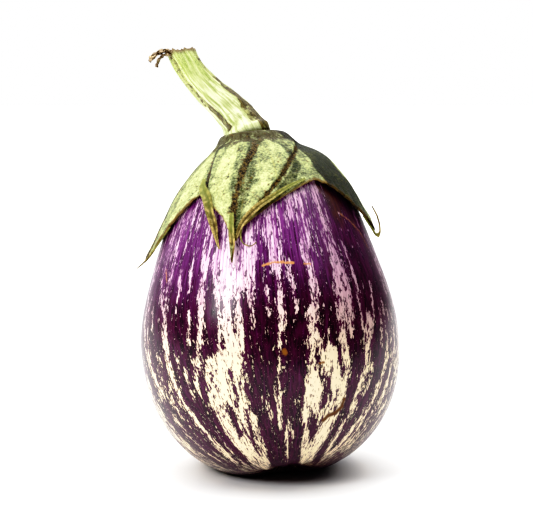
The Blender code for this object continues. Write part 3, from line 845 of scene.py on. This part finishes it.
# Dry strips and curls of the calyx: how far the strip is folded along its middle, then its
# points as bearing, polar angle, height over the skin and width, the last two in millimetres
STRIPS = {
    "strip_front": (0.7, ((-41, 26, 1.6, 1.2), (-37, 30, 2.0, 2.4), (-31, 34, 1.8, 3.2),
                          (-27.5, 39, 1.5, 2.6), (-24.5, 43, 1.2, 2.5), (-22.6, 47.5, 0.9, 1.3),
                          (-20.8, 51.5, 0.7, 0.4))),
    "tail_left": (0.3, ((-62, 40.5, 1.0, 1.0), (-72, 45.5, 1.2, 1.3), (-79, 50, 2.2, 1.0),
                        (-82, 53.5, 3.6, 0.6), (-80, 56, 5.0, 0.3))),
    "tail_right": (0.3, ((74, 44, 1.4, 1.6), (77, 48.5, 1.9, 1.8), (79, 52, 2.4, 1.5),
                         (81, 50.5, 3.8, 1.1), (81, 46.0, 4.6, 0.8), (80, 41.5, 4.4, 0.4))),
    "tendril": (0.0, ((-9, 44, 1.0, 0.5), (-9.6, 48, 1.3, 0.45), (-8.0, 51, 1.6, 0.4),
                      (-4.5, 52.4, 1.8, 0.35), (-1.5, 51.6, 2.4, 0.3))),
    "edge_right": (0.4, ((30, 30.2, 1.6, 0.7), (19, 32.4, 1.7, 1.2), (9, 35.4, 1.8, 1.7),
                         (-1, 39.0, 1.8, 2.1), (-8.5, 43.6, 1.5, 1.8), (-12.3, 49.5, 1.2, 0.7))),
    "spike": (0.6, ((-14.5, 40, 2.0, 1.2), (-14, 46, 1.9, 1.8), (-13.3, 51, 1.6, 1.7),
                    (-13.4, 57.5, 1.3, 0.5))),
}
STRIP_SIDES = 20
STRIP_STEPS = 70
STRIP_THICKNESS = 0.45 * MM


def ribbon_rings(line, facing, side, rise):
    """Closed rings of a ribbon along a line: side is their offset across it, rise off its face."""
    tangent = np.gradient(line, axis=0)
    tangent /= np.linalg.norm(tangent, axis=1, keepdims=True)
    across = np.cross(tangent, facing)
    across /= np.linalg.norm(across, axis=1, keepdims=True)
    lift = np.cross(across, tangent)
    return line[:, None] + across[:, None] * side[..., None] + lift[:, None] * rise[..., None]


def make_strips():
    material = strip_material()
    for name, (fold, points) in STRIPS.items():
        table = smooth_route(np.array(points, float), np.linspace(0.0, 1.0, STRIP_STEPS + 1))
        bearing, polar = np.radians(table[:, 0]), np.radians(table[:, 1])
        normal = skin_normals(bearing, polar)
        here = skin_points(bearing, polar) + normal * (table[:, 2] * MM)[:, None]
        angle = np.arange(STRIP_SIDES) * math.tau / STRIP_SIDES
        side = np.cos(angle)[None, :] * table[:, 3][:, None] * 0.5 * MM
        thickness = np.minimum(STRIP_THICKNESS, table[:, 3] * 0.8 * MM)
        rise = np.sin(angle)[None, :] * thickness[:, None] * 0.5 + fold * np.abs(side)
        rings = ribbon_rings(here, normal, side, rise)
        # where the fold's valley lies, for its painted shade
        middle = 1.0 - np.abs(np.cos(angle))[None, :] * np.ones((len(here), 1))
        length = np.linspace(0.0, 1.0, len(here))[:, None] * np.ones((1, STRIP_SIDES))
        piece = closed_rings_object(name, rings, here[0], here[-1],
                                    {"middle": middle, "along": length})
        piece.data.materials.append(material)
        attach(piece, "root")


def strip_material():
    material, tree, shader = new_material("calyx_dry")
    place = object_place(tree)
    patches = cloud(tree, place, 0.8 / MM, 4.0, 0.7)
    fine = cloud(tree, place, 3.0 / MM, 3.0, 0.7)
    colour = blend_colours(tree, ease(tree, patches, 0.38, 0.66), srgb(92, 76, 32), srgb(186, 166, 104))
    # Painted shade along the valley of the strip's middle fold
    fold = ease(tree, attribute(tree, "middle"), 0.55, 0.95, 0.0, 0.75)
    colour = blend_colours(tree, fold, colour, srgb(52, 38, 14))
    colour = blend_colours(tree, ease(tree, fine, 0.56, 0.72, 0.0, 0.6), colour, srgb(44, 30, 12))
    fresh = ease(tree, attribute(tree, "along"), 0.1, 0.7, 0.65, 0.0)
    colour = blend_colours(tree, fresh, colour, srgb(128, 140, 70))
    feed(tree, shader.inputs["Base Color"], colour)
    feed(tree, shader.inputs["Roughness"], multiply_add(tree, fine, 0.3, 0.5))
    shader.inputs["Specular IOR Level"].default_value = 0.3
    raise_surface(tree, shader, patches, 0.3 * MM, 0.8)
    return material


# ---------------------------------------------------------------- the stem

# The stem's middle line, as in the CAD, in millimetres from its foot
STEM_ROUTE = (
    (0.0, 0.0, 0.0),
    (-1.7, 1.3, 3.4),
    (-5.1, 2.9, 7.2),
    (-10.3, 5.2, 11.8),
    (-15.5, 7.0, 17.2),
    (-20.4, 9.0, 25.0),
)
STEM_GAP = 0.3 * MM            # between the seat and the stem's foot
STEM_BASE_RADIUS = 7.0 * MM
STEM_END_RADIUS = 4.05 * MM
STEM_TAPER = 1.6               # above 1, most of the narrowing is near the foot
STEM_FLARE = 0.8 * MM
STEM_FLARE_LENGTH = 0.16
STEM_RIBS = 5
STEM_RIB_HEIGHT = 0.3 * MM
CUT_NORMAL = unit((-0.10, 0.12, 1.0))
CUT_BLEND = 0.72
STEM_SIDES = 120
STEM_RINGS = 150
STEM_SINK = 0.5 * MM           # how far the stem's foot reaches into the calyx


def smooth_route(points, share):
    """Points on a smooth curve through the route's points."""
    place = np.clip(share, 0.0, 1.0) * (len(points) - 1)
    i = np.minimum(place.astype(int), len(points) - 2)
    t = (place - i)[:, None]
    padded = np.concatenate(([2 * points[0] - points[1]], points, [2 * points[-1] - points[-2]]))
    before, start, end, after = padded[i], padded[i + 1], padded[i + 2], padded[i + 3]
    return 0.5 * (2 * start + (end - before) * t
                  + (2 * before - 5 * start + 4 * end - after) * t ** 2
                  + (3 * start - 3 * end + after - before) * t ** 3)


def stem_foot():
    """The middle of the stem's foot in the CAD, just above the calyx's seat."""
    return seat_middle() + AXIS * STEM_GAP


def make_stem():
    foot = stem_foot()
    route = foot + np.array(STEM_ROUTE) * MM
    share = np.linspace(0.0, 1.0, STEM_RINGS + 1)
    here = smooth_route(route, share)
    tangent = smooth_route(route, share + 0.02) - smooth_route(route, share - 0.02)
    tangent /= np.linalg.norm(tangent, axis=1, keepdims=True)
    tangent[0] = AXIS
    across = np.cross(tangent, (0.0, 1.0, 0.0))
    across /= np.linalg.norm(across, axis=1, keepdims=True)
    deep = np.cross(tangent, across)
    angle = np.arange(STEM_SIDES) * math.tau / STEM_SIDES
    angles, shares = np.meshgrid(angle, share)
    radius = STEM_END_RADIUS + (STEM_BASE_RADIUS - STEM_END_RADIUS) * (1.0 - shares) ** STEM_TAPER
    radius += STEM_FLARE * np.maximum(0.0, 1.0 - shares / STEM_FLARE_LENGTH) ** 2
    radius += STEM_RIB_HEIGHT * np.cos(STEM_RIBS * angles)
    radius += ripples(angles, shares * 6.0, 21, 18, 0.9 * MM)
    offset = across[:, None] * np.cos(angle)[:, None] + deep[:, None] * np.sin(angle)[:, None]
    offset = offset * radius[..., None]
    slide = -(offset @ CUT_NORMAL) / (tangent @ CUT_NORMAL)[:, None]
    turn = np.clip((share - CUT_BLEND) / (1.0 - CUT_BLEND), 0.0, 1.0) ** 2
    rings = here[:, None] + offset + tangent[:, None] * (slide * turn[:, None])[..., None]
    ragged = ripples(angles * 4.0, shares * 3.0, 5, 12, 1.4 * MM) * smooth(0.94, 1.0, shares)
    rings = rings + tangent[:, None] * ragged[..., None]
    rings[0] -= AXIS * STEM_SINK

    lip = rings[-1]
    centre = lip.mean(axis=0)
    inward = [centre + (lip - centre) * s - CUT_NORMAL * d * MM
              for s, d in ((0.9, 0.1), (0.75, 0.9), (0.5, 1.3), (0.25, 0.9))]
    rings = np.concatenate((rings, np.array(inward)))
    extra = len(inward)

    def extend(values, last):
        return np.concatenate((values, np.full((extra, STEM_SIDES), float(last))))

    side_grain = np.stack((np.cos(angles), np.sin(angles), shares * 5.0), axis=-1)
    end_grain = np.stack((np.cos(angle), np.sin(angle), np.full(STEM_SIDES, 5.2)), axis=-1)
    attributes = {
        "grain": np.concatenate((side_grain, np.repeat(end_grain[None], extra, axis=0))),
        "along": extend(shares, 1.0),
        "cut": extend(smooth(0.955, 0.995, shares), 1.0),
        "dark": extend(stem_dark(np.degrees(angles), shares), 1.0),
    }
    piece = closed_rings_object("stem_stalk", rings, foot - AXIS * STEM_SINK,
                                centre - CUT_NORMAL * 0.6 * MM, attributes)
    piece.data.materials.append(stem_material())
    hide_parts("stem")
    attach(piece, "root")


# Frayed flaps of dry bark at the cut's low side: points in millimetres from the cut's middle
# with each one's width in millimetres
FLAPS = (
    ((-2.4, -1.0, -1.0, 5.0), (-4.4, -1.4, -0.6, 4.6), (-6.6, -1.6, -1.2, 3.6),
     (-8.4, -1.6, -2.6, 3.0), (-9.4, -1.8, -3.6, 1.8)),
    ((-3.0, -2.0, -1.6, 3.4), (-4.8, -2.6, -1.6, 3.2), (-6.4, -2.8, -3.0, 2.6),
     (-7.2, -2.9, -5.2, 1.6)),
    ((-2.8, 1.0, -0.6, 3.0), (-5.4, 0.8, -0.2, 2.8), (-8.0, 0.4, -1.4, 2.2), (-9.6, 0.2, -2.6, 1.2)),
)

FLAP_FACING = (0.1, 0.0, 1.0)


def make_flaps():
    material = flap_material()
    cut = stem_foot() + np.array(STEM_ROUTE[-1]) * MM
    for number, points in enumerate(FLAPS):
        table = smooth_route(np.array(points, float), np.linspace(0.0, 1.0, STRIP_STEPS + 1))
        here = cut + table[:, :3] * MM
        angle = np.arange(STRIP_SIDES) * math.tau / STRIP_SIDES
        steps = np.arange(len(here))[:, None]
        torn = 1.0 + 0.16 * np.sin(steps * 0.9 + number) * np.sin(steps * 0.37 + 2.0)
        side = np.cos(angle)[None, :] * table[:, 3][:, None] * 0.5 * MM * torn
        crinkle = 0.25 * MM * np.sin(np.cos(angle)[None, :] * 5.0 + steps * 0.35)
        rise = np.sin(angle)[None, :] * 0.22 * MM + 0.25 * np.abs(side) + crinkle
        rings = ribbon_rings(here, FLAP_FACING, side, rise)
        first, last = rings[0].mean(0), rings[-1].mean(0)
        piece = closed_rings_object(f"stem_flap_{number + 1}", rings, first, last, {})
        piece.data.materials.append(material)
        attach(piece, "root")


def flap_material():
    material, tree, shader = new_material("dry_bark")
    place = object_place(tree)
    patches = cloud(tree, place, 0.5 / MM, 4.0, 0.7)
    fine = cloud(tree, place, 2.4 / MM, 3.0, 0.7)
    colour = blend_colours(tree, ease(tree, patches, 0.35, 0.65), srgb(84, 62, 40), srgb(196, 176, 140))
    colour = blend_colours(tree, ease(tree, fine, 0.55, 0.75, 0.0, 0.6), colour, srgb(50, 36, 22))
    feed(tree, shader.inputs["Base Color"], colour)
    feed(tree, shader.inputs["Roughness"], multiply_add(tree, fine, 0.3, 0.55))
    raise_surface(tree, shader, patches, 0.3 * MM, 0.8)
    return material


# Dark bark patches on the stem: strength, half width in degrees, and angle and share x 100
# along the middle of each patch
STEM_PATCHES = (
    (1.0, 20.0, ((150, 3), (148, 28))), (0.7, 9.0, ((124, 10), (130, 26))),
    (1.0, 17.0, ((152, 34), (154, 54))), (0.8, 13.0, ((152, 60), (153, 70))),
    (0.8, 13.0, ((52, 14), (40, 58))), (0.5, 14.0, ((32, 62), (30, 92))),
    (0.5, 12.0, ((150, 74), (148, 96))), (0.7, 20.0, ((250, 0), (255, 10))),
)
STEM_ASPECT = 3.3


def stem_dark(angle, share):
    """The patches, with lengths stretched so that a unit is about as long either way."""
    patches = [(strength, half_width, [(a, s * STEM_ASPECT) for a, s in line])
               for strength, half_width, line in STEM_PATCHES]
    return np.clip(paint(angle, share * 100.0 * STEM_ASPECT, patches, 0.0), 0.0, 1.0)


def stem_material():
    material, tree, shader = new_material("stem_green")
    place = object_place(tree)
    grain = attribute(tree, "grain", "Vector")
    along = attribute(tree, "along")
    per_mm = 1.0 / MM
    fibres = cloud(tree, stretch(tree, grain, (1, 1, 0.14)), 6.0, 4.0, 0.6)
    fine = cloud(tree, stretch(tree, grain, (1, 1, 0.2)), 26.0, 3.0, 0.65)
    mottle = cloud(tree, place, 0.5 * per_mm, 4.0, 0.7)
    colour = blend_colours(tree, ease(tree, fibres, 0.3, 0.7), srgb(136, 146, 74), srgb(232, 236, 196))
    colour = blend_colours(tree, ease(tree, along, 0.45, 1.0, 0.0, 0.5), colour, srgb(162, 180, 84))
    colour = blend_colours(tree, ease(tree, mottle, 0.52, 0.72, 0.0, 0.5), colour, srgb(116, 124, 58))
    edge_tone = ease(tree, attribute(tree, "dark"), 0.0, 0.8, 0.0, 0.75)
    colour = blend_colours(tree, edge_tone, colour, srgb(134, 132, 62))
    bark = add_scaled(tree, attribute(tree, "dark"), mottle, 2.4, 1.65)
    brown = blend_colours(tree, ease(tree, fine, 0.4, 0.65), srgb(40, 28, 12), srgb(116, 100, 50))
    colour = blend_colours(tree, ease(tree, bark, 0.0, 0.4, 0.0, 0.95), colour, brown)
    end = blend_colours(tree, fine, srgb(60, 44, 28), srgb(168, 146, 108))
    colour = blend_colours(tree, attribute(tree, "cut"), colour, end)
    feed(tree, shader.inputs["Base Color"], colour)
    feed(tree, shader.inputs["Roughness"], multiply_add(tree, mottle, 0.25, 0.38))
    shader.inputs["Specular IOR Level"].default_value = 0.4
    height = multiply_add(tree, fibres, 0.9, multiply(tree, fine, 0.4))
    height = multiply_add(tree, mottle, 0.6, height)
    raise_surface(tree, shader, height, 0.4 * MM, 0.6)
    return material


# ---------------------------------------------------------------- floor, light and camera

VIEW_ELEVATION = math.radians(8.0)
VIEW_DISTANCE = 535.0 * MM
VIEW_LENS = 120.0
VIEW_CENTRE = Vector((-1.0, 0.0, 64.3)) * MM
LIGHT_AIM = 55.0 * MM          # height that the light faces
KEY_DIRECTION = (-0.62, -0.58, 0.53)
KEY_DISTANCE = 0.7
KEY_SIZE = (0.22, 0.26)
KEY_POWER = 3.0
FRONT_LEVEL, BACK_LEVEL = 0.05, 0.7
RIGHT_SHARE = 0.25             # of the level, that still comes from the right
OVERHEAD_LEVEL = 3.6
FLOOR_REACH = 2.0
FLOOR_WHITE = 0.92
FILM_CURVE = ((0.05, 0.012), (0.15, 0.10), (0.4, 0.39), (0.7, 0.78))


def make_floor():
    mesh = bpy.data.meshes.new("floor")
    corners = [(x * FLOOR_REACH, y * FLOOR_REACH, 0) for x, y in ((-1, -1), (1, -1), (1, 1), (-1, 1))]
    mesh.from_pydata(corners, [], [(0, 1, 2, 3)])
    floor = bpy.data.objects.new("floor", mesh)
    bpy.context.scene.collection.objects.link(floor)
    material, _, shader = new_material("floor_white")
    shader.inputs["Base Color"].default_value = (FLOOR_WHITE, FLOOR_WHITE, FLOOR_WHITE, 1.0)
    shader.inputs["Roughness"].default_value = 0.6
    mesh.materials.append(material)


def add_softbox(name, direction, distance, size, power):
    """A rectangular soft light that faces the fruit's middle from a direction."""
    light = bpy.data.lights.new(name, "AREA")
    light.shape = "RECTANGLE"
    light.size, light.size_y = size
    light.energy = power
    lamp = bpy.data.objects.new(name, light)
    centre = Vector((0.0, 0.0, LIGHT_AIM))
    lamp.location = centre + Vector(direction).normalized() * distance
    lamp.rotation_euler = (centre - lamp.location).to_track_quat("-Z", "Y").to_euler()
    bpy.context.scene.collection.objects.link(lamp)


def light_world():
    """White to the camera. As light, dimmer in front and on the right, brightest overhead."""
    world = bpy.data.worlds.new("studio")
    bpy.context.scene.world = world
    world.use_nodes = True
    tree = world.node_tree
    background = tree.nodes["Background"]
    direction = tree.nodes.new("ShaderNodeTexCoord").outputs["Generated"]
    split = tree.nodes.new("ShaderNodeSeparateXYZ")
    tree.links.new(direction, split.inputs[0])
    level = ease(tree, split.outputs[1], -0.45, 0.6, FRONT_LEVEL, BACK_LEVEL)
    level = multiply(tree, level, ease(tree, split.outputs[0], 0.0, 0.9, 1.0, RIGHT_SHARE))
    overhead = ease(tree, split.outputs[2], 0.4, 0.95, 0.0, OVERHEAD_LEVEL)
    overhead = multiply(tree, overhead, ease(tree, split.outputs[1], -0.7, 0.0))
    strength = calculate(tree, "ADD", level, overhead)
    seen = tree.nodes.new("ShaderNodeLightPath").outputs["Is Camera Ray"]
    feed(tree, background.inputs["Strength"], calculate(tree, "MAXIMUM", strength, seen))
    background.inputs["Color"].default_value = (1.0, 1.0, 1.0, 1.0)


def add_camera():
    data = bpy.data.cameras.new("camera")
    data.lens = VIEW_LENS
    data.sensor_width = 36.0
    camera = bpy.data.objects.new("camera", data)
    away = Vector((0.0, -math.cos(VIEW_ELEVATION), math.sin(VIEW_ELEVATION)))
    camera.location = VIEW_CENTRE + away * VIEW_DISTANCE
    camera.rotation_euler = (-away).to_track_quat("-Z", "Y").to_euler()
    bpy.context.scene.collection.objects.link(camera)
    bpy.context.scene.camera = camera


def set_film():
    """A plain view with deepened shadows, as on contrasty film."""
    view = bpy.context.scene.view_settings
    view.view_transform = "Standard"
    view.use_curve_mapping = True
    curve = view.curve_mapping.curves[3]
    for place, level in FILM_CURVE:
        curve.points.new(place, level)
    view.curve_mapping.update()


make_fruit()
make_calyx()
make_strips()
make_stem()
make_flaps()
make_floor()
add_softbox("key", KEY_DIRECTION, KEY_DISTANCE, KEY_SIZE, KEY_POWER)
light_world()
add_camera()
set_film()
